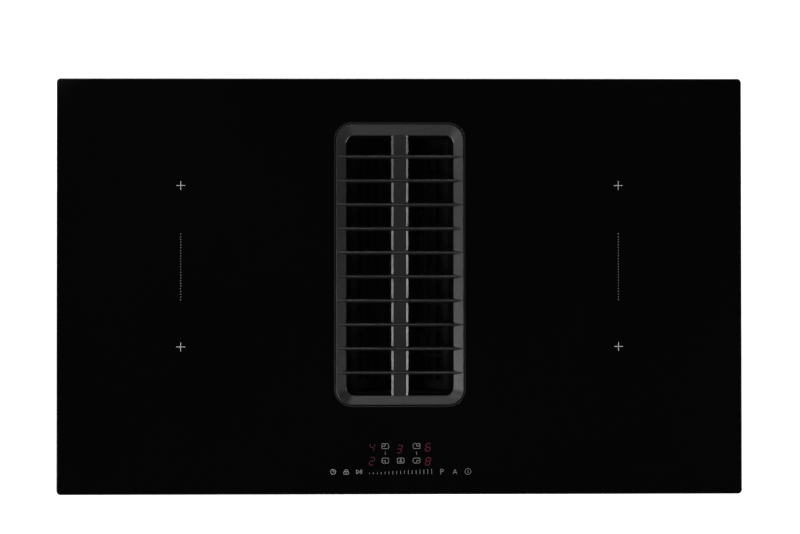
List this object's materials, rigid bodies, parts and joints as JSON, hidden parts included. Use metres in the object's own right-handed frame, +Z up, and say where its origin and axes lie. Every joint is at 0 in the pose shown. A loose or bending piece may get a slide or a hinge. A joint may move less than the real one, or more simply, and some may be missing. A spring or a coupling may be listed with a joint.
{
  "type": "downdraft induction cooktop",
  "caption": "Flush black glass induction cooktop with a lift-out centre extraction grille, filter, fan and flat-duct outlet below.",
  "frame": {"origin": "on the worktop surface, below the middle of the glass panel", "axes": "+X to the user's right, +Y to the rear, +Z up out of the worktop"},
  "size_m": [0.84, 0.51, 0.2127],
  "materials": {
    "black_glass": "polished black glass-ceramic",
    "seal_foam": "closed-cell foam strip",
    "zinc_steel": "zinc-plated sheet",
    "cast_black": "satin black enamel on casting",
    "black_moulding": "fine-textured heat-proof moulding",
    "rubber_black": "matt rubber",
    "filter_steel": "black-coated pressed steel",
    "filter_mesh": "black-coated slotted steel",
    "duct_moulding": "moulded duct plastic",
    "tray_moulding": "moulded tray plastic",
    "impeller_moulding": "glass-filled moulding",
    "shaft_steel": "ground steel",
    "motor_casting": "painted motor can",
    "bush_bronze": "sintered bronze",
    "box_moulding": "flame-proof moulding",
    "board_green": "circuit board lacquer",
    "plate_aluminium": "mill finish",
    "coil_copper": "lacquered stranded copper",
    "former_moulding": "mineral-filled moulding",
    "mica": "pressed mica",
    "ferrite": "ground ferrite",
    "fan_moulding": "fan plastic",
    "display_red": "display module"
  },
  "bodies": {
    "root": {"glass_panel": "black_glass", "worktop_seal": "seal_foam", "glass_frame": "zinc_steel", "inlet_frame": "black_moulding", "inlet_seal": "rubber_black", "inlet_well": "black_moulding", "collector_lid": "duct_moulding", "collector_housing": "duct_moulding", "tray_runners": "zinc_steel", "plenum_duct": "duct_moulding", "scroll_cover": "duct_moulding", "scroll_housing": "duct_moulding", "fan_motor": "motor_casting", "fan_bushes": "bush_bronze", "motor_mounts": "rubber_black", "outlet_adapter": "duct_moulding", "fan_control_box": "box_moulding", "fan_control_board": "board_green", "casing_left": "zinc_steel", "casing_right": "zinc_steel", "coil_plate_left": "plate_aluminium", "coil_plate_right": "plate_aluminium", "coil_front_left": "coil_copper", "coil_front_right": "coil_copper", "coil_rear_left": "coil_copper", "coil_rear_right": "coil_copper", "coil_formers": "former_moulding", "mica_sheets": "mica", "ferrite_bars": "ferrite", "coil_sensors": "former_moulding", "power_board_left": "board_green", "power_board_right": "board_green", "heat_sink_left": "plate_aluminium", "heat_sink_right": "plate_aluminium", "cooling_frame_left": "fan_moulding", "cooling_frame_right": "fan_moulding", "control_tray": "box_moulding", "touch_board": "board_green", "zone_displays": "display_red", "touch_pads": "seal_foam", "terminal_cover": "box_moulding", "terminal_block": "former_moulding", "cable_gland": "black_moulding", "clamp_brackets": "zinc_steel", "clamp_screws": "shaft_steel", "casing_screws": "shaft_steel"},
    "filter": {"filter_basket": "filter_steel", "grease_trough": "filter_steel", "filter_mesh_left": "filter_mesh", "filter_mesh_right": "filter_mesh"},
    "grille": {"grille": "cast_black"},
    "overflow_tray": {"overflow_tray": "tray_moulding"},
    "impeller": {"fan_impeller": "impeller_moulding", "fan_shaft": "shaft_steel"},
    "cooling_rotor_left": {"cooling_rotor_left": "fan_moulding"},
    "cooling_rotor_right": {"cooling_rotor_right": "fan_moulding"},
    "clamp_front_left": {"clamp_claw_front_left": "zinc_steel"},
    "clamp_rear_left": {"clamp_claw_rear_left": "zinc_steel"},
    "clamp_front_right": {"clamp_claw_front_right": "zinc_steel"},
    "clamp_rear_right": {"clamp_claw_rear_right": "zinc_steel"}
  },
  "joints": [
    {"name": "filter_lift", "type": "slide", "parent": "root", "child": "filter", "axis": [0, 0, 1], "range_m": [0, 0.15]},
    {"name": "grille_lift", "type": "slide", "parent": "filter", "child": "grille", "axis": [0, 0, 1], "range_m": [0, 0.1]},
    {"name": "overflow_tray_slide", "type": "slide", "parent": "root", "child": "overflow_tray", "axis": [0, -1, 0], "range_m": [0, 0.3]},
    {"name": "impeller_spin", "type": "hinge", "parent": "root", "child": "impeller", "pos_m": [0.217, 0.035, -0.16], "axis": [0, 0, 1], "continuous": true},
    {"name": "cooling_left_spin", "type": "hinge", "parent": "root", "child": "cooling_rotor_left", "pos_m": [-0.34, -0.186, -0.045], "axis": [0, 0, 1], "continuous": true},
    {"name": "cooling_right_spin", "type": "hinge", "parent": "root", "child": "cooling_rotor_right", "pos_m": [0.34, -0.186, -0.045], "axis": [0, 0, 1], "continuous": true},
    {"name": "clamp_front_left_swing", "type": "hinge", "parent": "root", "child": "clamp_front_left", "pos_m": [-0.3985, -0.185, -0.0348], "axis": [0, 0, 1], "range_deg": [0, 90]},
    {"name": "clamp_rear_left_swing", "type": "hinge", "parent": "root", "child": "clamp_rear_left", "pos_m": [-0.3985, 0.185, -0.0348], "axis": [0, 0, -1], "range_deg": [0, 90]},
    {"name": "clamp_front_right_swing", "type": "hinge", "parent": "root", "child": "clamp_front_right", "pos_m": [0.3985, -0.185, -0.0348], "axis": [0, 0, -1], "range_deg": [0, 90]},
    {"name": "clamp_rear_right_swing", "type": "hinge", "parent": "root", "child": "clamp_rear_right", "pos_m": [0.3985, 0.185, -0.0348], "axis": [0, 0, 1], "range_deg": [0, 90]}
  ]
}
